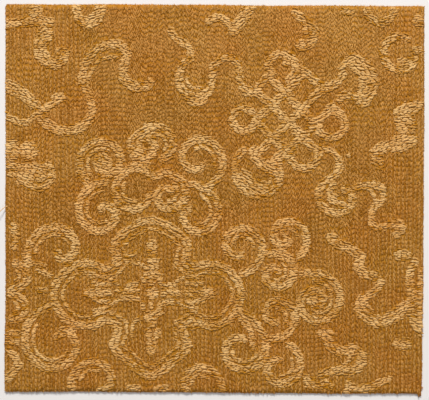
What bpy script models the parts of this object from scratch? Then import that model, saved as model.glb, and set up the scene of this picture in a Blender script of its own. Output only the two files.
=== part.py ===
"""A flat cut piece of golden-brown figured silk, its woven ornament raised on the face.

It is one sheet. The ornament is drawn from scrolls, ribbons, petals, a four-lobed medallion and an
endless knot. Their places are read by eye in the photograph's pixels, x to the right and y down, and
turned into metres here. Widths and heights are real sizes.
"""

import math
from collections import namedtuple

import bpy
import numpy as np
from mathutils import Vector
from mathutils.geometry import delaunay_2d_cdt

# Driving dimensions, in metres.
PHOTO_PIXEL = 0.00025
THICKNESS = 0.0010
BAND_WIDTH = 0.0021
BAND_RELIEF = 0.00025
LINE_WIDTH = 0.0009
LINE_RELIEF = 0.00014
LINE_INSET = 0.0020
STEP_LONG = 0.0019
STEP_SHORT = 0.0009
STEP_PER_RADIUS = 0.42
MERGE_WITHIN = 2e-6
LEAST_RISE = 0.20

SILK_COLOUR = (0.40, 0.19, 0.040, 1.0)
SILK_ROUGHNESS = 0.62

# The cut edge, clockwise from the top left corner, with the small curled tip at the bottom right.
EDGE = (
    (6.0, 4.5), (52, 5.0), (118, 4.6), (176, 5.3), (214, 5.1), (262, 6.2), (330, 5.9), (388, 6.6),
    (424.3, 6.5), (423.9, 48), (424.2, 104), (423.6, 167), (423.2, 228), (422.9, 296), (421.9, 338),
    (422.0, 372), (421.5, 388), (421.4, 394), (420.4, 396.5), (418.6, 395.8), (417.6, 393.4), (392, 393.0),
    (340, 393.4), (300, 392.8), (250, 392.6), (196, 392.0), (140, 391.8), (80, 391.1), (5.2, 391.6),
    (5.0, 355), (5.8, 322), (6.2, 268), (5.9, 212), (6.3, 150), (6.0, 92), (6.2, 46),
)

# A scroll turns from start, in degrees, by turn, while its radius goes from outer to inner. A thin line
# runs inside it over the share of the turn between line_from and line_to.
Scroll = namedtuple("Scroll", "x y outer inner start turn line_from line_to")
SCROLLS = (
    # The cloud head above the medallion.
    Scroll(104.5, 161.5, 27, 2.5, -130, -520, 0.02, 0.30),
    Scroll(103, 212.5, 30.5, 4.5, 85, 390, 0.02, 0.54),
    Scroll(144, 146, 14, 5, -165, 420, 0, 0),
    Scroll(157, 147.5, 23.5, 12.5, 115, -180, 0.03, 0.72),
    Scroll(135, 191.5, 23.5, 16, 52, 295, 0.30, 0.75),
    Scroll(168, 194.8, 23, 5.5, 125, -425, 0.15, 0.50),
    Scroll(197.5, 159.5, 29, 8.5, -62, 352, 0.12, 0.48),
    Scroll(195.5, 214.5, 29.5, 9, 98, -317, 0.08, 0.60),
    # The clouds to the left of the medallion.
    Scroll(59.5, 251, 34, 2.5, -158, -340, 0.05, 0.40),
    Scroll(57, 342.5, 37.5, 16.2, 103, 290, 0.12, 0.75),
    Scroll(15, 277, 14, 11, 88, -190, 0.10, 0.85),
    Scroll(13, 310, 17, 9, 100, -195, 0.15, 0.75),
    # The clouds below it.
    Scroll(97.5, 382, 28, 9.5, -150, -280, 0.15, 0.45),
    Scroll(197, 387, 26, 11, -6, 205, 0.20, 0.75),
    # The clouds to its right.
    Scroll(239.7, 246.5, 27, 9, -84, 365, 0.22, 0.64),
    Scroll(285.5, 237.5, 24, 4.5, -54, 365, 0.19, 0.50),
    Scroll(275.5, 273.5, 21.5, 3.5, 75, -400, 0.06, 0.42),
    Scroll(316, 301, 29.5, 4, 117, -540, 0.04, 0.40),
    Scroll(276, 315.5, 23.5, 6.5, -106, 373, 0.20, 0.50),
    Scroll(241, 349, 25.5, 10, 0, -285, 0.06, 0.63),
    Scroll(279.7, 367, 24, 8, 65, -331, 0.10, 0.45),
    # The loops and bows of the knot.
    Scroll(244, 119.5, 11, 12, 38, 320, 0, 0),
    Scroll(282, 67.5, 14, 14, -171, -247, 0, 0),
    Scroll(331, 124, 13.5, 14, -168, 253, 0, 0),
    Scroll(305.5, 153, 17, 13, -169, 168, 0, 0),
    Scroll(199, 80, 23, 15, 109, 211, 0.30, 0.85),
    Scroll(262, 173, 30, 17, 129, 241, 0.18, 0.85),
    Scroll(340, 197, 22, 9, 163, 255, 0, 0),
    # The clouds at the top right corner.
    Scroll(382, 9, 15, 12, 182, 180, 0, 0),
    Scroll(400, 53, 17, 17, 63, 274, 0, 0),
)

# A ribbon runs smoothly through its points, with its width going from broad to slim of BAND_WIDTH.
Ribbon = namedtuple("Ribbon", "broad slim points")
RIBBONS = (
    # The ribbons tied to the knot.
    Ribbon(0.9, 1.0, ((171, 30), (176, 39), (188, 46), (191, 57))),
    Ribbon(0.8, 1.0, ((211, 90), (213, 78), (212, 67), (226, 57), (238, 64), (240, 80), (246, 92), (256, 93))),
    Ribbon(1.4, 0.9, ((323, 88), (331, 86), (338, 82))),
    Ribbon(0.9, 1.6, ((338, 82), (342.5, 75), (343.5, 65), (351, 57.5), (361, 60.5), (370, 70), (373, 83),
                      (369, 95), (362, 102))),
    Ribbon(1.0, 0.7, ((340, 97), (352, 96), (366, 104))),
    Ribbon(0.9, 1.0, ((319, 150), (330, 150), (339, 160), (338, 173), (326, 181), (319, 191))),
    Ribbon(1.0, 0.8, ((356, 187), (366, 185), (381, 187), (383, 199), (373, 208))),
    Ribbon(0.8, 1.0, ((373, 208), (371.5, 224), (384, 227), (398, 222), (404, 228), (397, 234))),
    Ribbon(1.5, 1.4, ((245, 176), (253, 186), (264, 187))),
    Ribbon(1.0, 1.1, ((253, 150), (254, 157), (262, 163), (273, 162), (281, 154))),
    Ribbon(1.0, 1.1, ((260, 164), (269, 169), (277, 174))),
    Ribbon(1.2, 1.4, ((354, 66), (363, 74), (365, 84), (363, 94))),
    Ribbon(0.8, 0.9, ((334, 184), (329, 192), (332, 201), (343, 204))),
    # The cloud at the right edge and the ribbons below it.
    Ribbon(0.9, 1.0, ((421, 104), (406, 106), (397, 112), (398, 122))),
    Ribbon(1.4, 1.2, ((412, 141), (398, 147), (382, 146), (374, 153), (380, 165))),
    Ribbon(1.3, 0.9, ((331, 238), (342, 245), (354, 251), (363, 257), (357, 267), (364, 275), (376, 274),
                      (381, 283), (373, 293), (362, 299))),
    Ribbon(1.2, 1.8, ((362, 299), (358, 308), (364, 316), (376, 321), (388, 319), (400, 311))),
    Ribbon(1.7, 1.0, ((400, 311), (408, 305), (416, 298))),
    Ribbon(1.0, 1.0, ((415, 262), (409, 276), (412, 293), (409, 306), (414, 322), (421, 333))),
    Ribbon(0.7, 0.7, ((422, 270), (419, 300), (422, 330))),
    Ribbon(1.3, 1.1, ((326, 336), (330, 346), (340, 351), (352, 349), (362, 355), (362, 364), (352, 370),
                      (337, 370), (322, 374))),
    Ribbon(0.9, 0.6, ((306, 377), (309, 386), (318, 386), (326, 381), (332, 387))),
    Ribbon(0.7, 0.7, ((346, 393), (349, 381))),
    Ribbon(1.3, 0.7, ((363, 389), (373, 387), (381, 382), (389, 379))),
    # The ribbon and clouds at the top left.
    Ribbon(1.2, 1.0, ((4, 24), (27, 22), (51, 22))),
    Ribbon(1.9, 1.5, ((35, 3), (37, 20))),
    Ribbon(2.1, 1.1, ((46, 33), (41, 43), (41, 53), (47, 61), (56, 63), (64, 59), (66, 52), (59, 51))),
    Ribbon(1.0, 1.5, ((76, 3), (78, 17), (88, 24), (98, 19), (101, 3))),
    Ribbon(1.6, 1.0, ((148, 84), (134, 86), (123, 77), (125, 63), (127, 53))),
    Ribbon(1.3, 1.0, ((127, 53), (121, 46), (108, 44), (94, 51), (85, 65), (82, 82))),
    Ribbon(1.0, 1.4, ((86, 89), (92, 104), (90, 118), (77, 129), (60, 130), (43, 121))),
    Ribbon(1.7, 1.4, ((5, 84), (20, 92), (36, 104))),
    Ribbon(0.8, 0.9, ((5, 114), (21, 123), (33, 118), (45, 109), (58, 100))),
    # The clouds at the top right.
    Ribbon(0.9, 0.9, ((209, 21), (221, 17), (231, 26))),
    Ribbon(1.5, 1.5, ((252, 3), (243, 18), (234, 30))),
    Ribbon(1.0, 1.6, ((295, 13), (305, 21), (314, 32), (311, 42), (302, 45))),
    # What the cut leaves of the ornament at the left edge.
    Ribbon(0.9, 0.9, ((13, 226), (17, 236), (14, 247))),
    Ribbon(0.8, 0.8, ((4, 333), (18, 333))),
    Ribbon(0.8, 0.8, ((4, 341), (18, 341))),
    Ribbon(1.0, 1.0, ((10, 351), (19, 364), (8, 378))),
    Ribbon(0.8, 1.0, ((8, 165), (28, 167), (50, 167))),
    Ribbon(0.6, 0.6, ((10, 175), (34, 172))),
    Ribbon(0.9, 0.8, ((51, 168), (52, 178), (41, 188), (19, 182))),
    Ribbon(0.5, 0.5, ((39, 290), (46, 290))),
    # Short tails and a hook of the clouds beside the medallion.
    Ribbon(0.9, 0.8, ((72, 331), (63, 330), (56, 337))),
    Ribbon(0.5, 0.5, ((31, 263), (45, 265))),
    Ribbon(0.5, 0.5, ((37, 271), (51, 275))),
    Ribbon(0.7, 0.7, ((132, 165), (149, 165))),
    Ribbon(0.7, 0.8, ((241, 319), (248, 326), (252, 337), (253, 347))),
    Ribbon(1.0, 1.0, ((240, 313), (251, 317), (259, 327), (265, 338), (266.5, 349))),
    Ribbon(1.0, 1.0, ((269, 253), (276, 254), (284, 257))),
    Ribbon(1.0, 1.0, ((131, 151), (131, 141), (137, 135), (146, 131), (150, 127))),
    Ribbon(0.8, 0.8, ((157, 389), (166, 388))),
)

# A thin line has one width and runs smoothly through its points.
THIN_LINES = (
    ((118, 57), (101, 59), (93, 69), (88, 78), (87, 89)),
    ((364, 300), (368, 306), (373, 311)),
    ((351, 353), (348, 361), (342, 367)),
    ((370, 190), (374, 195), (376, 201)),
    ((92, 278), (103, 275), (119, 284)),
    ((94, 311), (104, 308), (119, 300)),
    ((177, 281), (186, 275), (198, 278)),
    ((178, 302), (186, 308), (198, 308)),
    ((129, 256), (134, 254), (140, 250)),
    ((129, 262), (136, 263), (144, 265)),
    ((147, 317), (137, 319), (132, 326), (132, 336)),
)

# A petal is an ellipse of half a length and half a width, turned by angle degrees.
Petal = namedtuple("Petal", "x y half_length half_width angle")
PETALS = (
    # The upright stem of the cross-shaped flower inside the medallion, from the top down.
    Petal(152, 248, 10, 5.6, 90),
    Petal(153.5, 260.5, 7.5, 3.2, 0),
    Petal(152, 267, 9, 3.2, 0),
    Petal(153, 275, 11, 4.5, 0),
    Petal(144, 280, 5, 2.5, 90),
    Petal(160, 280, 5, 3, 90),
    Petal(152, 283, 4, 2.6, 0),
    Petal(152.5, 293, 7, 6.5, 0),
    Petal(143.5, 306, 6, 2.4, 90),
    Petal(151.5, 306, 6, 2.2, 90),
    Petal(159.5, 307, 6, 3, 90),
    Petal(153.5, 313.5, 11, 3.6, 0),
    Petal(151.5, 321, 7, 6, 90),
    Petal(149, 334, 6, 3.2, 90),
    Petal(157.5, 334, 6, 3.2, 70),
    Petal(151.5, 347, 10, 5.8, 90),
    # Its left arm, from the middle out.
    Petal(133, 284, 9, 3, 4),
    Petal(128, 290.5, 16, 3.2, 0),
    Petal(131, 298.5, 12, 3.2, -6),
    Petal(101, 284, 13, 2.8, 0),
    Petal(97, 292.5, 18, 4.8, 0),
    Petal(102, 300.7, 12, 2.5, -6),
    # Its right arm, from the middle out.
    Petal(169, 285.3, 9, 3.2, 0),
    Petal(171, 293, 12, 4.2, 0),
    Petal(170, 302, 11, 3.2, 0),
    Petal(195, 283, 12, 3, 0),
    Petal(192, 292.5, 9, 4.2, 0),
    Petal(207.5, 292.5, 9.5, 6, 0),
    Petal(196, 301.5, 13, 2.8, 3),
    # The filled hearts of three scrolls.
    Petal(106.5, 162.5, 7, 6.5, 0),
    Petal(312, 300, 6, 6, 0),
    Petal(285, 234.5, 2.6, 3, 0),
    # Buds and flecks among the ribbons.
    Petal(59, 98, 8, 5, 0),
    Petal(29, 150.5, 10.5, 10.5, 0),
    Petal(41, 176, 7, 6, 0),
    Petal(25, 177, 12, 5.5, -20),
    Petal(12, 150, 8, 12, 0),
    Petal(196.5, 99.5, 12, 8, 0),
    Petal(326, 333, 9, 5, 0),
    Petal(338, 242, 8, 4.5, -35),
    Petal(372, 275, 8, 5, -10),
    Petal(356, 388, 7, 4, 0),
    Petal(402.5, 255, 10, 6, 0),
    Petal(402.5, 344, 10.5, 6.5, 0),
    Petal(309, 33, 8, 6, -50),
    Petal(409, 110, 12, 6, 5),
    Petal(407, 126, 11, 9, 0),
    Petal(286, 62.5, 4, 3.5, 0),
    Petal(403, 139, 12, 5, 0),
    Petal(406, 65, 10, 8, 0),
    Petal(417, 50, 6, 4, 0),
    Petal(418, 21, 6, 7, 0),
    Petal(348, 11, 8, 4, 0),
    Petal(134, 388, 9, 4, 0),
    Petal(349, 156, 2, 2, 0),
)
PETAL_POINTS = 10
PETAL_CREST = 0.45

# The four-lobed medallion, from its middle. The valleys lie on the diagonals. A lobe's half runs from the
# valley to its tip, as the share of the lobe's reach and the distance to the side.
MEDALLION_X = 151
MEDALLION_Y = 294.6
VALLEY = 32
WIDE_LOBE_HALF = ((0.46, 26), (0.57, 30), (0.67, 31.5), (0.78, 29.5), (0.89, 22), (0.965, 12))
UPPER_LOBE_HALF = ((0.54, 35), (0.62, 38), (0.73, 35), (0.83, 27), (0.92, 18), (0.98, 9))
LOWER_LOBE_HALF = ((0.54, 35), (0.62, 38), (0.72, 33), (0.80, 24), (0.90, 16), (0.97, 8))
Lobe = namedtuple("Lobe", "degrees reach half")
LOBES = (
    Lobe(0, 90.5, WIDE_LOBE_HALF), Lobe(90, 74.7, UPPER_LOBE_HALF),
    Lobe(180, 97.5, WIDE_LOBE_HALF), Lobe(270, 81, LOWER_LOBE_HALF),
)
MEDALLION_LINE_INSET = 0.0022

# The endless knot's lattice. Falling bands keep x - y, rising bands keep x + y, and both run from start
# to end along the other sum.
Lattice = namedtuple("Lattice", "at start end")
FALLING = (Lattice(135, 382, 446), Lattice(166, 343, 473), Lattice(192, 347, 446), Lattice(234, 374, 414))
RISING = (Lattice(345, 165, 200), Lattice(377, 146, 233), Lattice(411, 100, 234), Lattice(439, 117, 250))
CROSSING_GAP = 7.5
JOINED_WITHIN = 9

Stroke = namedtuple("Stroke", "path half_widths relief")


def middle_of_edge():
    """The middle of the cut edge's box, which is the part's origin."""
    xs = [x for x, y in EDGE]
    ys = [y for x, y in EDGE]
    return (min(xs) + max(xs)) / 2, (min(ys) + max(ys)) / 2


def on_cloth(points):
    """Photograph pixels as metres from the middle of the cloth, y away from the photograph's lower edge."""
    middle_x, middle_y = middle_of_edge()
    return np.array([((x - middle_x) * PHOTO_PIXEL, (middle_y - y) * PHOTO_PIXEL) for x, y in points])


def scroll_paths(scroll):
    """The scroll's own path and, where it has one, the thin line inside it."""
    centre = on_cloth([(scroll.x, scroll.y)])[0]
    start = math.radians(scroll.start)
    turn = math.radians(scroll.turn)

    def along(share_from, share_to, inset):
        path = []
        share = share_from
        while True:
            radius = (scroll.outer + (scroll.inner - scroll.outer) * share) * PHOTO_PIXEL - inset
            angle = start + turn * share
            path.append(centre + radius * np.array((math.cos(angle), math.sin(angle))))
            if share >= share_to:
                return np.array(path)
            step = min(STEP_LONG, max(STEP_SHORT, STEP_PER_RADIUS * radius))
            share = min(share_to, share + step / max(radius, STEP_SHORT) / abs(turn))

    band = along(0, 1, 0)
    line = along(scroll.line_from, scroll.line_to, LINE_INSET) if scroll.line_to else None
    return band, line


def smooth(points, step=STEP_LONG, closed=False):
    """A Catmull-Rom curve through the points, with one point about every step."""
    if closed:
        ends = np.vstack([points[-1:], points, points[:2]])
    else:
        ends = np.vstack([2 * points[:1] - points[1:2], points, 2 * points[-1:] - points[-2:-1]])
    path = []
    for a, b, c, d in zip(ends, ends[1:], ends[2:], ends[3:]):
        parts = max(1, round(float(np.linalg.norm(c - b)) / step))
        for i in range(parts):
            t = i / parts
            path.append(0.5 * (2 * b + (c - a) * t + (2 * a - 5 * b + 4 * c - d) * t**2
                               + (3 * b - a - 3 * c + d) * t**3))
    if not closed:
        path.append(points[-1])
    return np.array(path)


def sideways(path, closed=False):
    """The unit direction to the left of the path at each of its points."""
    if closed:
        ahead = np.roll(path, -1, axis=0) - np.roll(path, 1, axis=0)
    else:
        ahead = np.gradient(path, axis=0)
    ahead /= np.linalg.norm(ahead, axis=1, keepdims=True)
    return np.column_stack([-ahead[:, 1], ahead[:, 0]])


def medallion_path():
    """The medallion's closed outline: each lobe's half, its mirror image, and so on round the centre."""
    centre = on_cloth([(MEDALLION_X, MEDALLION_Y)])[0]
    outline = []
    for lobe in LOBES:
        turned = math.radians(lobe.degrees)
        out = np.array((math.cos(turned), math.sin(turned)))
        side = np.array((-out[1], out[0]))
        right = [(share * lobe.reach, -across) for share, across in lobe.half]
        left = [(along, -across) for along, across in reversed(right)]
        for along, across in [(VALLEY, -VALLEY), *right, (lobe.reach, 0), *left]:
            outline.append(centre + (along * out + across * side) * PHOTO_PIXEL)
    return smooth(np.array(outline), closed=True)


def knot_bands():
    """The lattice's straight bands, each with a gap where it passes under another."""

    def stretches(band, crossings):
        """The stretches of a band between the gaps at its crossings."""
        cuts = [c for c in crossings if band.start + JOINED_WITHIN < c < band.end - JOINED_WITHIN]
        starts = [band.start, *[c + CROSSING_GAP for c in cuts]]
        ends = [*[c - CROSSING_GAP for c in cuts], band.end]
        return list(zip(starts, ends))

    paths = []
    for i, band in enumerate(FALLING):
        under = [other.at for j, other in enumerate(RISING) if (i + j) % 2]
        for start, end in stretches(band, under):
            paths.append([((band.at + s) / 2, (s - band.at) / 2) for s in (start, end)])
    for j, band in enumerate(RISING):
        under = [other.at for i, other in enumerate(FALLING) if not (i + j) % 2]
        for start, end in stretches(band, under):
            paths.append([((s + band.at) / 2, (band.at - s) / 2) for s in (start, end)])
    return [smooth(on_cloth(path)) for path in paths]


def even(path, width, relief):
    """A stroke of one width."""
    return Stroke(path, np.full(len(path), width / 2), relief)


def all_strokes():
    """Every band and thin line of the ornament."""
    strokes = []
    for scroll in SCROLLS:
        band, line = scroll_paths(scroll)
        strokes.append(even(band, BAND_WIDTH, BAND_RELIEF))
        if line is not None:
            strokes.append(even(line, LINE_WIDTH, LINE_RELIEF))
    for ribbon in RIBBONS:
        path = smooth(on_cloth(ribbon.points))
        widths = np.linspace(ribbon.broad, ribbon.slim, len(path)) * BAND_WIDTH
        strokes.append(Stroke(path, widths / 2, BAND_RELIEF))
    for points in THIN_LINES:
        strokes.append(even(smooth(on_cloth(points)), LINE_WIDTH, LINE_RELIEF))
    for path in knot_bands():
        strokes.append(even(path, BAND_WIDTH, BAND_RELIEF))
    outline = medallion_path()
    inner = outline + sideways(outline, closed=True) * MEDALLION_LINE_INSET
    for path, width, relief in ((outline, BAND_WIDTH, BAND_RELIEF), (inner, LINE_WIDTH, LINE_RELIEF)):
        strokes.append(even(np.vstack([path, path[:1]]), width, relief))
    return strokes


def petal_ring(petal, share):
    """The petal's outline, or at a smaller share the crest inside it."""
    centre = on_cloth([(petal.x, petal.y)])[0]
    tilt = math.radians(petal.angle)
    along = np.array((math.cos(tilt), math.sin(tilt))) * petal.half_length * PHOTO_PIXEL
    across = np.array((-math.sin(tilt), math.cos(tilt))) * petal.half_width * PHOTO_PIXEL
    turns = [2 * math.pi * i / PETAL_POINTS for i in range(PETAL_POINTS)]
    return np.array([centre + share * (math.cos(t) * along + math.sin(t) * across) for t in turns])


def stroke_lines(stroke):
    """The stroke's crest, and its foot as a closed line round both sides and both rounded tips."""
    left = sideways(stroke.path)
    ahead = np.column_stack([left[:, 1], -left[:, 0]])
    halves = stroke.half_widths[:, None]
    slant = math.sqrt(0.5)
    first = stroke.path[:1] + halves[:1] * np.vstack([
        -slant * (ahead[0] + left[0]), -ahead[0], slant * (left[0] - ahead[0])])
    last = stroke.path[-1:] + halves[-1:] * np.vstack([
        slant * (ahead[-1] + left[-1]), ahead[-1], slant * (ahead[-1] - left[-1])])
    foot = np.vstack([first, stroke.path + left * halves, last, (stroke.path - left * halves)[::-1]])
    return stroke.path, foot


def stroke_height(points, stroke):
    """How far the stroke lifts the cloth at each point: a round crest that falls to nothing at its foot."""
    height = np.zeros(len(points))
    halves = stroke.half_widths
    for start, end, half, next_half in zip(stroke.path, stroke.path[1:], halves, halves[1:]):
        run = end - start
        along = np.clip((points - start) @ run / (run @ run), 0, 1)
        half_there = half + (next_half - half) * along
        away = np.linalg.norm(points - start - along[:, None] * run, axis=1) / half_there
        height = np.maximum(height, stroke.relief * (1 - away**2))
    return height


def petal_height(points, petal):
    """How far the petal lifts the cloth at each point."""
    centre = on_cloth([(petal.x, petal.y)])[0]
    tilt = math.radians(petal.angle)
    turn = np.array(((math.cos(tilt), -math.sin(tilt)), (math.sin(tilt), math.cos(tilt))))
    local = (points - centre) @ turn / (np.array((petal.half_length, petal.half_width)) * PHOTO_PIXEL)
    return BAND_RELIEF * np.clip(1 - (local**2).sum(axis=1), 0, 1)


def inside(points, outline):
    """Whether each point lies inside the closed outline."""
    found = np.zeros(len(points), bool)
    for (x0, y0), (x1, y1) in zip(outline, np.roll(outline, -1, axis=0)):
        spans = (y0 > points[:, 1]) != (y1 > points[:, 1])
        if spans.any():
            crossing = x0 + (points[spans, 1] - y0) * (x1 - x0) / (y1 - y0)
            found[spans] ^= points[spans, 0] < crossing
    return found


def triangulated(closed_lines, open_lines, outline):
    """Triangles that keep every line as an edge, inside the outline only."""
    points = []
    edges = []
    for lines, closed in ((closed_lines, True), (open_lines, False)):
        for line in lines:
            first = len(points)
            points.extend(Vector(p) for p in line)
            edges.extend((i, i + 1) for i in range(first, len(points) - 1))
            if closed:
                edges.append((len(points) - 1, first))
    found, _, faces, *_ = delaunay_2d_cdt(points, edges, [], 0, MERGE_WITHIN, False)
    found = np.array([tuple(p) for p in found])
    faces = np.array(faces)
    return found, faces[inside(found[faces].mean(axis=1), outline)]


def raised_heights(points, strokes):
    """The face's height over the surface that the cloth lies on, at each point."""
    height = np.zeros(len(points))
    for stroke in strokes:
        height = np.maximum(height, stroke_height(points, stroke))
    for petal in PETALS:
        height = np.maximum(height, petal_height(points, petal))
    height[height < LEAST_RISE * BAND_RELIEF] = 0
    return THICKNESS + height


def rim_of(faces):
    """The edges that only one triangle uses, in that triangle's direction."""
    directed = {(int(a), int(b)) for face in faces for a, b in zip(face, np.roll(face, -1))}
    return [edge for edge in directed if edge[::-1] not in directed]


def rim_loop(rim):
    """The rim's points in order round the cloth."""
    following = dict(rim)
    loop = [rim[0][0]]
    while following[loop[-1]] != loop[0]:
        loop.append(following[loop[-1]])
    return loop


def cloth_mesh():
    """The sheet as one closed body: the raised face, the cut edges and a flat back."""
    outline = on_cloth(EDGE)
    strokes = all_strokes()
    crests = []
    feet = [outline]
    for stroke in strokes:
        crest, foot = stroke_lines(stroke)
        crests.append(crest)
        feet.append(foot)
    for petal in PETALS:
        feet.append(petal_ring(petal, 1))
        feet.append(petal_ring(petal, PETAL_CREST))
    face_points, face_triangles = triangulated(feet, crests, outline)
    used, face_triangles = np.unique(face_triangles, return_inverse=True)
    face_triangles = face_triangles.reshape(-1, 3)
    face_points = face_points[used]
    top = np.column_stack([face_points, raised_heights(face_points, strokes)])

    loop = rim_loop(rim_of(face_triangles))
    edge_points = face_points[loop]
    _, back_triangles = triangulated([edge_points], [], edge_points)
    bottom = np.column_stack([edge_points, np.zeros(len(edge_points))])
    below = len(top) + np.arange(len(loop))

    faces = face_triangles.tolist()
    faces += [[int(below[i]) for i in reversed(triangle)] for triangle in back_triangles]
    for i, upper in enumerate(loop):
        after = (i + 1) % len(loop)
        faces.append([upper, int(below[i]), int(below[after]), loop[after]])

    mesh = bpy.data.meshes.new("cloth")
    mesh.from_pydata(np.vstack([top, bottom]).tolist(), [], faces)
    mesh.validate()
    mesh.update()
    return mesh


def silk_material():
    """The part's one colour: the golden brown of the cloth."""
    material = bpy.data.materials.new("silk")
    material.use_nodes = True
    surface = material.node_tree.nodes["Principled BSDF"]
    surface.inputs["Base Color"].default_value = SILK_COLOUR
    surface.inputs["Roughness"].default_value = SILK_ROUGHNESS
    surface.inputs["Metallic"].default_value = 0.0
    return material


def main():
    for item in list(bpy.data.objects):
        bpy.data.objects.remove(item)
    mesh = cloth_mesh()
    mesh.materials.append(silk_material())
    bpy.context.collection.objects.link(bpy.data.objects.new("cloth", mesh))


main()
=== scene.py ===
"""Looks of a cut piece of golden-brown figured silk, woven thread by thread over its CAD sheet.

The CAD sheet's raised face says where the ornament is. Ground warps are laid where it is low and
pattern weft floats where it is high, on a thin closed sheet that replaces the CAD solid.
"""

import math
from collections import namedtuple

import bpy
import numpy as np
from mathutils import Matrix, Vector
from mathutils.bvhtree import BVHTree


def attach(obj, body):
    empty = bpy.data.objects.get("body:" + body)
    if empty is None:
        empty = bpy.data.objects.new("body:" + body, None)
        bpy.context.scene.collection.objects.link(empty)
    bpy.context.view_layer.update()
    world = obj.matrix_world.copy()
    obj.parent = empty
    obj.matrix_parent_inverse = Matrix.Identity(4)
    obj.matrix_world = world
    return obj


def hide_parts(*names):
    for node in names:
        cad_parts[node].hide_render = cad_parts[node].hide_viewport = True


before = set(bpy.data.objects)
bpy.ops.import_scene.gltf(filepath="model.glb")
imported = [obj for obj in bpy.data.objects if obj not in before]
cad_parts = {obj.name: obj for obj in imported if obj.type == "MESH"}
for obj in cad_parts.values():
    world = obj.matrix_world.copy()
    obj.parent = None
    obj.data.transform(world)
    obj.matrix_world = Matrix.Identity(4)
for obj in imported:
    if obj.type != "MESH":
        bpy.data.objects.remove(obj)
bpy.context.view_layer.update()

SEED = 4927
MM = 0.001
ON_FLOOR = 1e-6

# The camera and the photograph's frame.
PHOTO_PIXEL = 0.25 * MM
PHOTO_WIDTH = 429
CAMERA_LENS = 100
CAMERA_SENSOR = 36
CAMERA_NEAR = 0.01

# A noise is smooth, from minus to plus its strength, with features of about its size.
Noise = namedtuple("Noise", "strength size seed")
NOISE_CELLS = 64

# The sheet under the threads. A wave's length is its wavelength divided by two pi.
SHEET_COLUMNS = 130
SHEET_ROWS = 120
SHEET_TOP = 0.70 * MM
SHEET_RIM_DROP = 0.22 * MM
RIM_WIDTH = 0.9 * MM
UNDULATION = 0.035 * MM
Wave = namedtuple("Wave", "length phase")
UNDULATION_ACROSS = Wave(7.3 * MM, 1.1)
UNDULATION_UP = Wave(9.1 * MM, 0.4)
UNDULATION_SLANT = Wave(4.1 * MM, 0.0)
SLANT = 0.7
SLANT_SHARE = 0.6
SHEET_TONE = 0.5
SHEET_TONES = Noise(0.4, 0.5 * MM, 5)

# The waves of a cut edge: each one's share of the waver, its wavelength divided by two pi, and how many
# times the edge's own phase it starts at.
EDGE_WAVER = 0.035 * MM
EdgeWave = namedtuple("EdgeWave", "share length phase_times")
EDGE_WAVES = (EdgeWave(0.5, 0.55 * MM, 1.0), EdgeWave(0.3, 0.23 * MM, 2.3), EdgeWave(0.4, 2.9 * MM, 4.1))

# Threads are blunt spindles. Their ends' radius falls with this power.
BLUNTNESS = 0.35

# Below, a plural name with two numbers holds the least and the greatest share of its size.

# The ground: short warp floats in columns that step up and down as zigzags, and stand as ribs
# away from the upper middle. Rises, drifts and slips are shares of a row or of a pitch.
WARP_PITCH = 0.255 * MM
WARP_ROW = 1.08 * MM
WARP_HALF_LENGTH = 0.56 * MM
WARP_LENGTHS = (0.9, 1.1)
WARP_HALF_WIDTH = 0.16 * MM
WARP_WIDTHS = (0.9, 1.1)
WARP_HALF_HEIGHT = 0.10 * MM
WARP_HEIGHTS = (0.85, 1.15)
WARP_BOW = 0.02 * MM
WARP_LIFT = 0.03 * MM
WARP_UNEVEN = 0.25
WARP_SHIFT = (0.02 * MM, 0.09 * MM)
WARP_TURN = math.radians(5)
WARP_INSIDE = 0.10 * MM
WARP_SWAY = Noise(0.05 * MM, 3 * MM, 23)
WARP_DRIFT = Noise(0.7, 6 * MM, 21)
RIB_PITCH = 1.02 * MM
RIB_DEPTH = 0.18 * MM
RIB_LONGER = 0.10
RIB_BEND = Noise(1.5, 11 * MM, 27)
RIB_LIMIT = Noise(0.5, 13 * MM, 24)
RIB_FALL = 1.6
ZIGZAG_PITCH = 2.05 * MM
ZIGZAG_RISE = 0.36
ZIGZAG_SLIP = Noise(0.8, 6 * MM, 26)
ZIGZAG_MIDDLE = (4 * MM, 22 * MM)
ZIGZAG_REACH = (30 * MM, 24 * MM)
WARP_PARTS_AT = 17 * MM

# The ornament: pattern weft floats of uneven length in rows.
WEFT_ROW = 0.38 * MM
WEFT_SHIFT = 0.085 * MM
WEFT_FLOAT = 1.25 * MM
WEFT_FIRST_FLOATS = (0.5, 1.4)
WEFT_UNEVEN = 0.45
WEFT_LEAST = 0.80 * MM
WEFT_GAP = 0.04 * MM
WEFT_BEYOND = 0.13 * MM
WEFT_RAGGED = 0.16 * MM
WEFT_ABOVE = 0.17 * MM
WEFT_INSIDE = 0.05 * MM
WEFT_LENGTHS = (0.97, 1.10)
WEFT_HALF_WIDTH = 0.25 * MM
WEFT_WIDTHS = (0.85, 1.15)
WEFT_WIDTH_OFF_CREST = 0.85
WEFT_WIDER_AT_CREST = 0.2
WEFT_HALF_HEIGHT = 0.075 * MM
WEFT_HEIGHTS = (0.8, 1.1)
WEFT_LIFT = 0.12 * MM
WEFT_LIFTS = (0.7, 1.3)
WEFT_BOW = 0.08 * MM
WEFT_BOWS = (0.7, 1.3)
WEFT_BOWS_BY_LENGTH = (0.35, 1.3)
WEFT_ARCH = 0.09 * MM
WEFT_ARCH_MEAN = 0.3
WEFT_ARCH_SPREAD = 0.7
WEFT_WAVE = 0.05 * MM
WEFT_WAVE_PITCH = 0.80 * MM
WEFT_LEAN = math.radians(18)
LEAN_SAMPLE = 4
LEAN_BLUR = 2
LEAN_REACH = 4
LEAST_SLOPE = 1e-9
WEFT_TURN = math.radians(4)
WEFT_PARTS_AT = (-16 * MM, 12 * MM)

# How the raised ornament is read from the CAD face.
SAMPLE = 0.10 * MM
RAISED_BY = 0.02 * MM
FULL_RELIEF = 0.11 * MM

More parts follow.
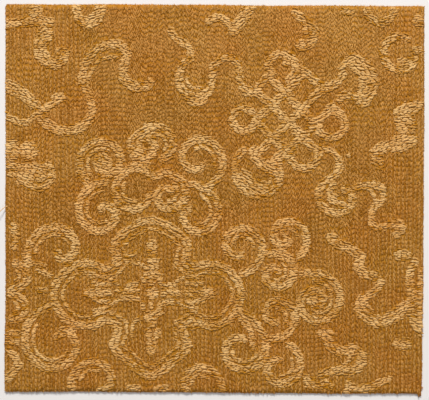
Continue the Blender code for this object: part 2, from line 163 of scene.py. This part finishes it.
# The threads' tones, from 0 for the dark silk to 1 for the light one.
WEFT_TONE = 0.25
WEFT_TONE_SPREAD = 0.18
WEFT_TONE_AT_CREST = 0.37
# Painted sheen: the pattern wefts' tone rises towards the top of the cloth, where the light from beyond the
# upper edge falls.
WEFT_PAINTED_SHEEN_AT_TOP = 0.03
# Painted sheen at the upper right: the pattern wefts are painted darker there.
WEFT_DIMMED_UNDER_PAINTED_SHEEN = 0.12
WEFT_SLOW_TONES = Noise(0.33, 2.6 * MM, 11)
WEFT_QUICK_TONES = Noise(0.16, 0.9 * MM, 12)
WARP_TONE = 0.43
# Painted light and shade on the ribs: warps on a rib's crest are painted lighter and those in its groove
# darker.
WARP_PAINTED_SHADING_ON_RIB = 0.32
# Painted sheen: the ground warps' tone rises towards the top of the cloth, where the light from beyond the
# upper edge falls.
WARP_PAINTED_SHEEN_AT_TOP = 0.06
WARP_TONE_SPREAD = 0.20
# Painted sheen at the upper right: the ground warps are painted lighter there.
WARP_LIT_BY_PAINTED_SHEEN = 0.18
WARP_STREAKS = Noise(0.13, 0.4 * MM, 28)
WARP_STREAKS_STRETCH = 0.03
WARP_PATCHES = Noise(0.10, 6 * MM, 25)
# Where the painted sheen at the upper right begins, and over how much height it grows full.
PAINTED_SHEEN_FROM = 24 * MM
PAINTED_SHEEN_OVER = 16 * MM

# The silk's surface: fibres, and soft patches that are redder by a tint.
SPECULAR = 0.05
SHEEN_ROUGHNESS = 0.4
FIBRE_DETAIL = 2.0
FIBRE_BUMP = 0.5
FIBRE_BUMP_HEIGHT = 0.03 * MM
PATCHES_TO_A_METRE = 75.0
PATCH_DETAIL = 3.0
PATCH_RANGE = (0.42, 0.66)
PATCH_TINT = (1.0, 0.90, 0.80, 1)

# The yarn ends at the cut edges.
END_PITCH_AT_SIDES = 0.24 * MM
END_PITCH_AT_ENDS = 0.20 * MM
END_REACH = 0.08 * MM
END_REACHES = (0.4, 1.8)
END_ROOT = 0.12 * MM
END_HALF_WIDTH = 0.11 * MM
END_WIDTHS = (0.7, 1.2)
END_SHIFT = 0.05 * MM
END_TURN = 0.25
END_LEVEL = 1 * MM
END_LEVELS = (0.16, 0.48)
END_TONES = (0.1, 0.8)
FREE_AT_CORNER = 0.3 * MM
FREE_AT_LEFT = 0.5 * MM
FREE_AT_BOTTOM = 1.5 * MM

# The loose yarn of two plies. Its way runs out from the left edge, in millimetres: x and y from the
# middle of the cloth, and z over the floor.
LOOSE_YARN = (
    (-51.2, -1.2, 0.55), (-52.4, -1.7, 0.75), (-53.2, -2.4, 1.15), (-54.0, -3.1, 1.5),
    (-55.0, -3.4, 1.5), (-56.2, -3.2, 1.1), (-57.2, -2.5, 0.6), (-57.8, -1.6, 0.2),
)
YARN_RADIUS = 0.11 * MM
YARN_STEP = 0.12 * MM
YARN_TWIST = 0.42
YARN_TONE = 0.75
PLY_FROM_MIDDLE = 0.55
PLY_RADIUS = 0.62
PLY_SIDES = 7

# The floor, the lamps and the room.
FLOOR_HALF = 1.5
FLOOR_COLOUR = (0.88, 0.855, 0.835, 1)
FLOOR_ROUGHNESS = 0.9
Lamp = namedtuple("Lamp", "name place size energy colour")
LAMPS = (
    Lamp("key", (-0.04, 0.80, 0.66), 0.30, 11.0, (1.0, 0.97, 0.93)),
    Lamp("fill", (0.18, -0.35, 0.75), 0.60, 1.3, (0.98, 0.97, 0.98)),
)
ROOM_COLOUR = (0.95, 0.96, 1.0, 1)
ROOM_STRENGTH = 0.22

rng = np.random.default_rng(SEED)


def cad_surface():
    """The CAD sheet as a tree for rays, and its points."""
    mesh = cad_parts["cloth"].data
    points = [tuple(v.co) for v in mesh.vertices]
    faces = [tuple(p.vertices) for p in mesh.polygons]
    return BVHTree.FromPolygons(points, faces), np.array(points)


SURFACE, CAD_POINTS = cad_surface()
LOW = CAD_POINTS.min(axis=0)
HIGH = CAD_POINTS.max(axis=0)


def ground_level():
    """The CAD face's height away from the ornament: the commonest height of its upper points."""
    upper = CAD_POINTS[CAD_POINTS[:, 2] > 0.5 * HIGH[2], 2]
    values, counts = np.unique(np.round(upper, 6), return_counts=True)
    return values[counts.argmax()]


GROUND_LEVEL = ground_level()


def height_at(x, y):
    """The CAD face's height at a place, or 0 off the cloth."""
    hit = SURFACE.ray_cast(Vector((x, y, 1)), Vector((0, 0, -1)))[0]
    return hit.z if hit else 0.0


def side_lines():
    """The four cut edges of the CAD sheet, each as its places in order along the edge."""
    floor_points = np.unique(np.round(CAD_POINTS[CAD_POINTS[:, 2] < ON_FLOOR][:, :2], 6), axis=0)
    near = 3 * MM
    near_right = 1.3 * MM
    left = floor_points[floor_points[:, 0] < LOW[0] + near]
    right = floor_points[floor_points[:, 0] > HIGH[0] - near_right]
    bottom = floor_points[floor_points[:, 1] < LOW[1] + near]
    top = floor_points[floor_points[:, 1] > HIGH[1] - near]
    return (
        left[np.argsort(left[:, 1])], right[np.argsort(right[:, 1])],
        bottom[np.argsort(bottom[:, 0])], top[np.argsort(top[:, 0])],
    )


LEFT, RIGHT, BOTTOM, TOP = side_lines()


def waver(along, phase):
    """A small unevenness of a cut edge."""
    return EDGE_WAVER * sum(
        wave.share * np.sin(along / wave.length + wave.phase_times * phase) for wave in EDGE_WAVES
    )


def left_edge(y):
    """The left cut edge's x at this y."""
    return np.interp(y, LEFT[:, 1], LEFT[:, 0]) + waver(y, 1.0)


def right_edge(y):
    """The right cut edge's x at this y."""
    return np.interp(y, RIGHT[:, 1], RIGHT[:, 0]) + waver(y, 2.0)


def bottom_edge(x):
    """The bottom cut edge's y at this x."""
    return np.interp(x, BOTTOM[:, 0], BOTTOM[:, 1]) + waver(x, 3.0)


def top_edge(x):
    """The top cut edge's y at this x."""
    return np.interp(x, TOP[:, 0], TOP[:, 1]) + waver(x, 4.0)


def from_rim(x, y):
    """How far inside the nearest cut edge a place lies."""
    return np.minimum.reduce([
        x - left_edge(y), right_edge(y) - x, y - bottom_edge(x), top_edge(x) - y,
    ])


def eased(share):
    """A share from 0 to 1 that starts and ends gently."""
    return share * share * (3 - 2 * share)


def swell(along, wave):
    """A wave's height, from -1 to 1, this far along it."""
    return np.sin(along / wave.length + wave.phase)


def sheet_height(x, y):
    """The top of the sheet under the threads, a little uneven and thinner towards the cut edges."""
    rim = eased(np.clip(from_rim(x, y) / RIM_WIDTH, 0, 1))
    uneven = swell(x, UNDULATION_ACROSS) * swell(y, UNDULATION_UP)
    uneven = uneven + SLANT_SHARE * swell(x + SLANT * y, UNDULATION_SLANT)
    return SHEET_TOP - SHEET_RIM_DROP * (1 - rim) + UNDULATION * uneven * rim


def value_noise(x, y, noise):
    """The noise at each place, blended between the random values of its cells' corners."""
    cells = np.random.default_rng(noise.seed).uniform(-1, 1, (NOISE_CELLS, NOISE_CELLS))
    u = (x / noise.size) % NOISE_CELLS
    v = (y / noise.size) % NOISE_CELLS
    i = np.floor(u).astype(int)
    j = np.floor(v).astype(int)
    across = eased(u - i)
    up = eased(v - j)
    i_after = (i + 1) % NOISE_CELLS
    j_after = (j + 1) % NOISE_CELLS
    i = i % NOISE_CELLS
    j = j % NOISE_CELLS
    low = cells[i, j] * (1 - across) + cells[i_after, j] * across
    high = cells[i, j_after] * (1 - across) + cells[i_after, j_after] * across
    return noise.strength * (low * (1 - up) + high * up)


def mesh_piece(name, points, faces, material, tone):
    """A smooth mesh that rides on the cloth's body, with its points' tones."""
    mesh = bpy.data.meshes.new(name)
    mesh.from_pydata(points.tolist(), [], faces)
    mesh.shade_smooth()
    mesh.materials.append(material)
    mesh.attributes.new("tone", "FLOAT", "POINT").data.foreach_set("value", tone.astype(np.float32))
    piece = bpy.data.objects.new(name, mesh)
    bpy.context.scene.collection.objects.link(piece)
    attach(piece, "root")
    return piece


def spindle(rings, sides):
    """A closed thread with two blunt tips: shares along it, shares of its radius, and its faces."""
    shares = np.sin(0.5 * math.pi * np.linspace(-1, 1, rings + 2))
    along = [-1.0]
    across = [0.0]
    up = [0.0]
    for share in shares[1:-1]:
        radius = (1 - share * share) ** BLUNTNESS
        for side in range(sides):
            turn = 2 * math.pi * side / sides
            along.append(share)
            across.append(radius * math.cos(turn))
            up.append(radius * math.sin(turn))
    along.append(1.0)
    across.append(0.0)
    up.append(0.0)
    last = len(along) - 1
    faces = []
    for side in range(sides):
        after = (side + 1) % sides
        faces.append((0, 1 + after, 1 + side))
        for ring in range(rings - 1):
            a = 1 + ring * sides
            b = a + sides
            faces.append((a + side, a + after, b + after, b + side))
        end = 1 + (rings - 1) * sides
        faces.append((end + side, end + after, last))
    return np.array(along), np.array(across), np.array(up), faces


WEFT_FORM = spindle(rings=5, sides=4)
SHORT_FORM = spindle(rings=2, sides=4)


def threads(form, centres, half_lengths, half_widths, half_heights, headings, bows, arches=None, phases=None):
    """Points and faces of many threads of one form, each turned to its heading and bowed up in its middle.

    Arches bend them sideways, and phases start the small waves that they make over the warps.
    """
    along, across, up, faces = form
    run = half_lengths[:, None] * along
    side = half_widths[:, None] * across
    if arches is not None:
        waves = WEFT_WAVE * np.sin(2 * math.pi * run / WEFT_WAVE_PITCH + phases[:, None])
        side = side + arches[:, None] * (1 - along**2) + waves
    rise = half_heights[:, None] * up + bows[:, None] * (1 - along**2)
    cos = np.cos(headings)[:, None]
    sin = np.sin(headings)[:, None]
    points = np.stack([
        centres[:, 0:1] + run * cos - side * sin,
        centres[:, 1:2] + run * sin + side * cos,
        centres[:, 2:3] + rise,
    ], axis=-1)
    count = len(along)
    joined = [
        tuple(first + i for i in face)
        for first in range(0, count * len(centres), count)
        for face in faces
    ]
    return points.reshape(-1, 3), joined


def thread_piece(name, form, made, material, tones):
    """Threads of one form as one piece, each thread in its own tone."""
    points, faces = made
    return mesh_piece(name, points, faces, material, np.repeat(tones, len(form[0])))


def node(tree, kind, **values):
    """A shader node with its own settings."""
    made = tree.nodes.new(kind)
    for key, value in values.items():
        setattr(made, key, value)
    return made


def fine_fibres(tree, place, grain):
    """Noise drawn out along the threads, as shades of grey."""
    fibres_at = node(tree, "ShaderNodeMapping")
    fibres_at.inputs["Scale"].default_value = grain
    fibres = node(tree, "ShaderNodeTexNoise")
    fibres.inputs["Scale"].default_value = 1.0
    fibres.inputs["Detail"].default_value = FIBRE_DETAIL
    tree.links.new(place.outputs["Object"], fibres_at.inputs["Vector"])
    tree.links.new(fibres_at.outputs["Vector"], fibres.inputs["Vector"])
    return fibres


def toned_colour(tree, fibres, dark, light, speckle):
    """From the dark colour to the light one with each thread's tone, speckled by the fibres."""
    tone = node(tree, "ShaderNodeAttribute", attribute_name="tone")
    blend = node(tree, "ShaderNodeMath", operation="MULTIPLY_ADD")
    blend.inputs[1].default_value = speckle
    tree.links.new(fibres.outputs["Fac"], blend.inputs[0])
    tree.links.new(tone.outputs["Fac"], blend.inputs[2])
    shift = node(tree, "ShaderNodeMath", operation="SUBTRACT", use_clamp=True)
    shift.inputs[1].default_value = 0.5 * speckle
    tree.links.new(blend.outputs["Value"], shift.inputs[0])
    colour = node(tree, "ShaderNodeMix", data_type="RGBA")
    colour.inputs["A"].default_value = (*dark, 1)
    colour.inputs["B"].default_value = (*light, 1)
    tree.links.new(shift.outputs["Value"], colour.inputs["Factor"])
    return colour


def redder_in_patches(tree, place, colour):
    """The colour, a little redder in soft patches of about a centimetre."""
    patches = node(tree, "ShaderNodeTexNoise")
    patches.inputs["Scale"].default_value = PATCHES_TO_A_METRE
    patches.inputs["Detail"].default_value = PATCH_DETAIL
    tree.links.new(place.outputs["Object"], patches.inputs["Vector"])
    spread = node(tree, "ShaderNodeMapRange")
    spread.inputs["From Min"].default_value = PATCH_RANGE[0]
    spread.inputs["From Max"].default_value = PATCH_RANGE[1]
    tree.links.new(patches.outputs["Fac"], spread.inputs["Value"])
    redder = node(tree, "ShaderNodeMix", data_type="RGBA", blend_type="MULTIPLY")
    redder.inputs["B"].default_value = PATCH_TINT
    tree.links.new(spread.outputs["Result"], redder.inputs["Factor"])
    tree.links.new(colour.outputs["Result"], redder.inputs["A"])
    return redder


def silk_material(name, dark, light, roughness, sheen, grain, speckle):
    """Silk whose colour goes from dark to light with each thread's tone, with patches and fine fibres."""
    material = bpy.data.materials.new(name)
    material.use_nodes = True
    tree = material.node_tree
    surface = tree.nodes["Principled BSDF"]
    surface.inputs["Roughness"].default_value = roughness
    surface.inputs["Sheen Weight"].default_value = sheen
    surface.inputs["Sheen Roughness"].default_value = SHEEN_ROUGHNESS
    surface.inputs["Specular IOR Level"].default_value = SPECULAR

    place = node(tree, "ShaderNodeTexCoord")
    fibres = fine_fibres(tree, place, grain)
    colour = redder_in_patches(tree, place, toned_colour(tree, fibres, dark, light, speckle))
    tree.links.new(colour.outputs["Result"], surface.inputs["Base Color"])

    bump = node(tree, "ShaderNodeBump")
    bump.inputs["Strength"].default_value = FIBRE_BUMP
    bump.inputs["Distance"].default_value = FIBRE_BUMP_HEIGHT
    tree.links.new(fibres.outputs["Fac"], bump.inputs["Height"])
    tree.links.new(bump.outputs["Normal"], surface.inputs["Normal"])
    return material


# The fibres' noise to a metre along x, y and z: drawn out along the warps or along the pattern wefts.
ALONG_WARP = (5000, 3600, 3000)
ALONG_WEFT = (3800, 5000, 3000)
# The backing is the silk's lower weave, a little darker than the ground threads: partly its own colour and
# partly painted shade for the gaps between the threads.
BACKING_WITH_PAINTED_SHADE = silk_material(
    "silk_backing_painted_shade", dark=(0.34, 0.132, 0.003), light=(0.54, 0.250, 0.030),
    roughness=0.70, sheen=0.0, grain=ALONG_WARP, speckle=0.5,
)
GROUND = silk_material(
    "silk_ground", dark=(0.290, 0.108, 0.0015), light=(0.73, 0.388, 0.104),
    roughness=0.55, sheen=0.02, grain=ALONG_WARP, speckle=2.8,
)
PATTERN = silk_material(
    "silk_pattern", dark=(0.47, 0.190, 0.003), light=(0.845, 0.533, 0.210),
    roughness=0.55, sheen=0.04, grain=ALONG_WEFT, speckle=2.4,
)


def silk_sheet():
    """The thin closed sheet that carries the threads: a grid between the cut edges, walls and a flat back."""
    s = np.linspace(0, 1, SHEET_COLUMNS + 1)
    t = np.linspace(0, 1, SHEET_ROWS + 1)
    level = np.mean(BOTTOM[:, 1]) + t * (np.mean(TOP[:, 1]) - np.mean(BOTTOM[:, 1]))
    x = left_edge(level)[:, None] + s[None, :] * (right_edge(level) - left_edge(level))[:, None]
    y = bottom_edge(x) + t[:, None] * (top_edge(x) - bottom_edge(x))
    top = np.stack([x, y, sheet_height(x, y)], axis=-1).reshape(-1, 3)
    across = SHEET_COLUMNS + 1

    faces = []
    for row in range(SHEET_ROWS):
        for column in range(SHEET_COLUMNS):
            a = row * across + column
            faces.append((a, a + 1, a + 1 + across, a + across))
    rim = [
        *range(0, SHEET_COLUMNS),
        *(row * across + SHEET_COLUMNS for row in range(SHEET_ROWS)),
        *(SHEET_ROWS * across + column for column in range(SHEET_COLUMNS, 0, -1)),
        *(row * across for row in range(SHEET_ROWS, 0, -1)),
    ]
    below = top[rim].copy()
    below[:, 2] = 0
    first = len(top)
    for i, upper in enumerate(rim):
        after = (i + 1) % len(rim)
        faces.append((upper, first + i, first + after, rim[after]))
    faces.append(tuple(first + i for i in reversed(range(len(rim)))))
    points = np.vstack([top, below])
    # The backing's tones; its colours hold painted shade for the gaps between the threads.
    tone = SHEET_TONE + value_noise(points[:, 0], points[:, 1], SHEET_TONES)
    sheet = mesh_piece("silk_sheet", points, faces, BACKING_WITH_PAINTED_SHADE, tone)
    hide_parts("cloth")
    return sheet


def ornament_rows():
    """The rows of the pattern weft: each row's y and whether the ornament is raised at each sample."""
    rows = np.arange(LOW[1] + 0.5 * WEFT_ROW, HIGH[1], WEFT_ROW)
    columns = np.arange(LOW[0], HIGH[0], SAMPLE)
    raised = np.zeros((len(rows), len(columns)), bool)
    for i, y in enumerate(rows):
        for level in (y - WEFT_ABOVE, y, y + WEFT_ABOVE):
            raised[i] |= np.array([height_at(x, level) > GROUND_LEVEL + RAISED_BY for x in columns])
    return rows, columns, raised


def box_blur(grid, half):
    """The grid averaged over a square of this many cells to each side, in two passes."""
    for axis in (0, 1):
        margins = [(half, half) if a == axis else (0, 0) for a in (0, 1)]
        sums = np.cumsum(np.insert(np.pad(grid, margins), 0, 0, axis=axis), axis=axis)
        ahead = np.take(sums, np.arange(2 * half + 1, sums.shape[axis]), axis=axis)
        behind = np.take(sums, np.arange(0, sums.shape[axis] - 2 * half - 1), axis=axis)
        grid = (ahead - behind) / (2 * half + 1)
    return grid


def lean_grid(raised):
    """How the floats lean: along with bands that slant, level on bands that don't."""
    soft = box_blur(raised[:, ::LEAN_SAMPLE].astype(float), LEAN_BLUR)
    slope_y, slope_x = np.gradient(soft, WEFT_ROW, SAMPLE * LEAN_SAMPLE)
    xx = box_blur(slope_x**2, LEAN_REACH)
    yy = box_blur(slope_y**2, LEAN_REACH)
    xy = box_blur(slope_x * slope_y, LEAN_REACH)
    lean = -WEFT_LEAN * 2 * xy / (xx + yy + LEAST_SLOPE)
    return np.repeat(lean, LEAN_SAMPLE, axis=1)[:, : raised.shape[1]]


def runs(flags):
    """The first and one-past-last index of each unbroken run of true flags."""
    edges = np.flatnonzero(np.diff(np.concatenate([[0], flags.astype(int), [0]])))
    return edges.reshape(-1, 2)


def float_stops(start, end):
    """Where one row's run of pattern weft dips under a warp, and so is cut into floats."""
    short = max(0.0, WEFT_LEAST - (end - start)) / 2
    start -= short
    end += short
    stops = [start]
    reach = WEFT_FLOAT * rng.uniform(*WEFT_FIRST_FLOATS)
    while end - stops[-1] > reach + 0.5 * WEFT_FLOAT:
        stops.append(stops[-1] + reach)
        reach = WEFT_FLOAT * (1 + WEFT_UNEVEN * rng.uniform(-1, 1))
    stops.append(end)
    return stops


def weft_floats(rows, columns, raised):
    """Each float of the pattern weft: its middle, half its length and its lean."""
    lean = lean_grid(raised)
    floats = []
    for j, y in enumerate(rows):
        for first, last in runs(raised[j]):
            start = columns[first] - rng.normal(WEFT_BEYOND, WEFT_RAGGED)
            end = columns[last - 1] + rng.normal(WEFT_BEYOND, WEFT_RAGGED)
            stops = float_stops(start, end)
            for a, b in zip(stops, stops[1:]):
                middle = (a + b) / 2
                at = min(len(columns) - 1, max(0, int((middle - LOW[0]) / SAMPLE)))
                floats.append((middle, y + rng.normal(0, WEFT_SHIFT), (b - a - WEFT_GAP) / 2, lean[j, at]))
    floats = np.array(floats)
    return floats[from_rim(floats[:, 0], floats[:, 1]) > WEFT_INSIDE].T


def painted_sheen_share(x, y):
    """How much painted sheen a place gets: most at the upper right, where ornament and ground are close in
    colour; there the ground is painted lighter and the ornament darker.
    """
    return np.clip((y - PAINTED_SHEEN_FROM) / PAINTED_SHEEN_OVER, 0, 1) * (x - LOW[0]) / (HIGH[0] - LOW[0])


def pattern_wefts(rows, columns, raised):
    """The light floats of the ornament, in three pieces from the top down."""
    x, y, half_length, heading = weft_floats(rows, columns, raised)
    count = len(x)
    crest = np.array([height_at(a, b) for a, b in zip(x, y)]) - GROUND_LEVEL
    crest = np.clip(crest / FULL_RELIEF, 0, 1)
    wider = WEFT_WIDTH_OFF_CREST + WEFT_WIDER_AT_CREST * crest
    centres = np.column_stack([x, y, sheet_height(x, y) + WEFT_LIFT * rng.uniform(*WEFT_LIFTS, count)])
    bow = WEFT_BOW * np.clip(half_length / (0.5 * WEFT_FLOAT), *WEFT_BOWS_BY_LENGTH)
    patches = value_noise(x, y, WEFT_SLOW_TONES) + value_noise(x, y, WEFT_QUICK_TONES)
    tone = rng.normal(WEFT_TONE, WEFT_TONE_SPREAD, count) + patches
    # The term with y is painted sheen: the floats are lighter towards the top.
    tone = tone + WEFT_TONE_AT_CREST * crest + WEFT_PAINTED_SHEEN_AT_TOP * y / HIGH[1]
    # Painted sheen: the floats are darker towards the upper right.
    tone = np.clip(tone - WEFT_DIMMED_UNDER_PAINTED_SHEEN * painted_sheen_share(x, y), 0, 1)
    lower = y < WEFT_PARTS_AT[0]
    upper = y > WEFT_PARTS_AT[1]
    parts = (
        ("pattern_wefts_upper", upper),
        ("pattern_wefts_middle", ~upper & ~lower),
        ("pattern_wefts_lower", lower),
    )
    pieces = []
    for name, chosen in parts:
        n = int(chosen.sum())
        made = threads(
            WEFT_FORM,
            centres[chosen],
            half_length[chosen] * rng.uniform(*WEFT_LENGTHS, n),
            WEFT_HALF_WIDTH * wider[chosen] * rng.uniform(*WEFT_WIDTHS, n),
            WEFT_HALF_HEIGHT * rng.uniform(*WEFT_HEIGHTS, n),
            heading[chosen] + rng.normal(0, WEFT_TURN, n),
            bow[chosen] * rng.uniform(*WEFT_BOWS, n),
            WEFT_ARCH * rng.normal(WEFT_ARCH_MEAN, WEFT_ARCH_SPREAD, n),
            rng.uniform(0, 2 * math.pi, n),
        )
        pieces.append(thread_piece(name, WEFT_FORM, made, PATTERN, tone[chosen]))
    return pieces


def rib_share(x, y):
    """How far the ground is ribbed rather than zigzag: most at the left, the right and the bottom."""
    across = np.abs(x - ZIGZAG_MIDDLE[0]) / ZIGZAG_REACH[0]
    below = (ZIGZAG_MIDDLE[1] - y) / ZIGZAG_REACH[1]
    away = np.maximum(across, below) - 1 + value_noise(x, y, RIB_LIMIT)
    return np.clip(0.5 + RIB_FALL * away, 0, 1)


def warp_places(rows, columns, raised):
    """The middles of the ground's warp floats, left out where the ornament covers them."""
    places = []
    for column_x in np.arange(LOW[0], HIGH[0], WARP_PITCH):
        y = np.arange(LOW[1], HIGH[1], WARP_ROW)
        x = np.full(len(y), column_x)
        share = (x / ZIGZAG_PITCH + value_noise(x, y, ZIGZAG_SLIP)) % 1
        zigzag = 2 * ZIGZAG_RISE * np.abs(share - 0.5) * (1 - rib_share(x, y)) + rng.normal(0, WARP_UNEVEN)
        places.append(np.column_stack([x, y + (zigzag + value_noise(x, y, WARP_DRIFT)) * WARP_ROW]))
    x, y = np.vstack(places).T
    count = len(x)
    sway = value_noise(x, y, WARP_SWAY)
    x = x + rng.normal(0, WARP_SHIFT[0], count) + sway
    y = y + rng.normal(0, WARP_SHIFT[1], count)
    row = np.clip(np.round((y - rows[0]) / WEFT_ROW).astype(int), 0, len(rows) - 1)
    column = np.clip(((x - LOW[0]) / SAMPLE).astype(int), 0, len(columns) - 1)
    uncovered = ~raised[row, column] & (from_rim(x, y) > WARP_INSIDE)
    return x[uncovered], y[uncovered]


def ground_warps(rows, columns, raised):
    """The short warp floats of the ground, in three pieces from left to right."""
    x, y = warp_places(rows, columns, raised)
    count = len(x)
    rib = np.cos(2 * math.pi * x / RIB_PITCH + value_noise(x, y, RIB_BEND)) * rib_share(x, y)
    centres = np.column_stack([x, y, sheet_height(x, y) + WARP_LIFT + RIB_DEPTH * 0.5 * rib])
    # Painted light and shade: warps on the ribs' crests lighter, those in the grooves darker.
    tone = WARP_TONE + WARP_PAINTED_SHADING_ON_RIB * rib + value_noise(x, y * WARP_STREAKS_STRETCH, WARP_STREAKS)
    # The term with y is painted sheen: the warps are lighter towards the top.
    tone = tone + value_noise(x, y, WARP_PATCHES) + WARP_PAINTED_SHEEN_AT_TOP * y / HIGH[1]
    tone = tone + rng.normal(0, WARP_TONE_SPREAD, count)
    # Painted sheen: the warps are lighter towards the upper right.
    tone = np.clip(tone + WARP_LIT_BY_PAINTED_SHEEN * painted_sheen_share(x, y), 0, 1)
    left = x < -WARP_PARTS_AT
    right = x > WARP_PARTS_AT
    parts = (
        ("ground_warps_left", left),
        ("ground_warps_middle", ~left & ~right),
        ("ground_warps_right", right),
    )
    pieces = []
    for name, chosen in parts:
        n = int(chosen.sum())
        longer = 1 + RIB_LONGER * rib_share(x[chosen], y[chosen])
        made = threads(
            SHORT_FORM,
            centres[chosen],
            WARP_HALF_LENGTH * longer * rng.uniform(*WARP_LENGTHS, n),
            WARP_HALF_WIDTH * rng.uniform(*WARP_WIDTHS, n),
            WARP_HALF_HEIGHT * rng.uniform(*WARP_HEIGHTS, n),
            math.pi / 2 + rng.normal(0, WARP_TURN, n),
            np.full(n, WARP_BOW),
        )
        pieces.append(thread_piece(name, SHORT_FORM, made, GROUND, tone[chosen]))
    return pieces


def cut_ends():
    """Yarn ends that stand a little out of the cut edges, two at each place."""
    ends = []
    for y in np.arange(LOW[1] + FREE_AT_BOTTOM, HIGH[1] - FREE_AT_CORNER, END_PITCH_AT_SIDES):
        for edge, heading in ((left_edge, math.pi), (right_edge, 0.0)):
            ends.append((float(edge(y)), y, heading))
    for x in np.arange(LOW[0] + FREE_AT_LEFT, HIGH[0] - FREE_AT_CORNER, END_PITCH_AT_ENDS):
        for edge, heading in ((bottom_edge, -math.pi / 2), (top_edge, math.pi / 2)):
            ends.append((x, float(edge(x)), heading))
    ends = np.array(ends + ends)
    count = len(ends)
    ends[:, :2] += rng.normal(0, END_SHIFT, (count, 2))
    headings = ends[:, 2] + rng.normal(0, END_TURN, count)
    reach = END_REACH * rng.uniform(*END_REACHES, count)
    level = END_LEVEL * rng.uniform(*END_LEVELS, count)
    made = threads(
        SHORT_FORM,
        np.column_stack([ends[:, 0], ends[:, 1], level]),
        reach + END_ROOT,
        END_HALF_WIDTH * rng.uniform(*END_WIDTHS, count),
        END_HALF_WIDTH * rng.uniform(*END_WIDTHS, count),
        headings,
        np.zeros(count),
    )
    return thread_piece("cut_ends", SHORT_FORM, made, GROUND, rng.uniform(*END_TONES, count))


def smooth_way(points, step):
    """A Catmull-Rom curve through the points, with one point about every step."""
    before = 2 * points[:1] - points[1:2]
    beyond = 2 * points[-1:] - points[-2:-1]
    marks = np.vstack([before, points, beyond])
    way = []
    for a, b, c, d in zip(marks, marks[1:], marks[2:], marks[3:]):
        parts = max(1, round(float(np.linalg.norm(c - b)) / step))
        for i in range(parts):
            t = i / parts
            way.append(0.5 * (2 * b + (c - a) * t + (2 * a - 5 * b + 4 * c - d) * t**2
                              + (3 * b - a - 3 * c + d) * t**3))
    way.append(points[-1])
    return np.array(way)


def tube(way, radius, sides):
    """Points and faces of a closed tube along a way that runs near the level."""
    ahead = np.gradient(way, axis=0)
    ahead /= np.linalg.norm(ahead, axis=1, keepdims=True)
    left = np.cross((0, 0, 1), ahead)
    left /= np.linalg.norm(left, axis=1, keepdims=True)
    up = np.cross(ahead, left)
    turns = 2 * math.pi * np.arange(sides) / sides
    rings = way[:, None] + radius * (
        np.cos(turns)[None, :, None] * left[:, None] + np.sin(turns)[None, :, None] * up[:, None]
    )
    faces = []
    for ring in range(len(way) - 1):
        for side in range(sides):
            a = ring * sides + side
            b = ring * sides + (side + 1) % sides
            faces.append((a, b, b + sides, a + sides))
    faces.append(tuple(reversed(range(sides))))
    faces.append(tuple((len(way) - 1) * sides + i for i in range(sides)))
    return rings.reshape(-1, 3), faces


def loose_yarn():
    """The pale two-ply yarn that has come out of the left edge."""
    way = smooth_way(np.array(LOOSE_YARN) * MM, YARN_STEP)
    turn = np.arange(len(way)) * YARN_TWIST
    plies = []
    faces = []
    for half_turn in (0, math.pi):
        round_way = np.column_stack([np.zeros(len(way)), np.cos(turn + half_turn), np.sin(turn + half_turn)])
        ply_way = way + PLY_FROM_MIDDLE * YARN_RADIUS * round_way
        ply, ply_faces = tube(ply_way, PLY_RADIUS * YARN_RADIUS, PLY_SIDES)
        faces += [tuple(i + len(plies) * len(ply) for i in face) for face in ply_faces]
        plies.append(ply)
    points = np.vstack(plies)
    return mesh_piece("loose_yarn", points, faces, PATTERN, np.full(len(points), YARN_TONE))


def floor():
    """The plain pale surface."""
    mesh = bpy.data.meshes.new("floor")
    corners = [(x * FLOOR_HALF, y * FLOOR_HALF, 0) for x, y in ((-1, -1), (1, -1), (1, 1), (-1, 1))]
    mesh.from_pydata(corners, [], [(0, 1, 2, 3)])
    material = bpy.data.materials.new("floor")
    material.use_nodes = True
    surface = material.node_tree.nodes["Principled BSDF"]
    surface.inputs["Base Color"].default_value = FLOOR_COLOUR
    surface.inputs["Roughness"].default_value = FLOOR_ROUGHNESS
    mesh.materials.append(material)
    plane = bpy.data.objects.new("floor", mesh)
    bpy.context.scene.collection.objects.link(plane)


def area_light(lamp):
    """A soft round lamp that faces the cloth."""
    data = bpy.data.lights.new(lamp.name, "AREA")
    data.shape = "DISK"
    data.size = lamp.size
    data.energy = lamp.energy
    data.color = lamp.colour
    light = bpy.data.objects.new(lamp.name, data)
    light.location = lamp.place
    light.rotation_euler = (-Vector(lamp.place)).to_track_quat("-Z", "Y").to_euler()
    bpy.context.scene.collection.objects.link(light)


def lights():
    """Soft light from beyond the upper edge, a weak fill, and a pale room."""
    for lamp in LAMPS:
        area_light(lamp)
    world = bpy.data.worlds.new("room")
    world.use_nodes = True
    background = world.node_tree.nodes["Background"]
    background.inputs["Color"].default_value = ROOM_COLOUR
    background.inputs["Strength"].default_value = ROOM_STRENGTH
    bpy.context.scene.world = world
    bpy.context.scene.view_settings.view_transform = "Standard"


def camera():
    """A camera that looks straight down, as far off as makes the photograph's frame its own."""
    data = bpy.data.cameras.new("camera")
    data.lens = CAMERA_LENS
    data.sensor_width = CAMERA_SENSOR
    data.clip_start = CAMERA_NEAR
    eye = bpy.data.objects.new("camera", data)
    distance = PHOTO_WIDTH * PHOTO_PIXEL * CAMERA_LENS / CAMERA_SENSOR
    eye.location = (0, 0.5 * PHOTO_PIXEL, distance + SHEET_TOP)
    bpy.context.scene.collection.objects.link(eye)
    bpy.context.scene.camera = eye


sheet = silk_sheet()
rows, columns, raised = ornament_rows()
wefts = pattern_wefts(rows, columns, raised)
warps = ground_warps(rows, columns, raised)
ends = cut_ends()
yarn = loose_yarn()
floor()
lights()
camera()
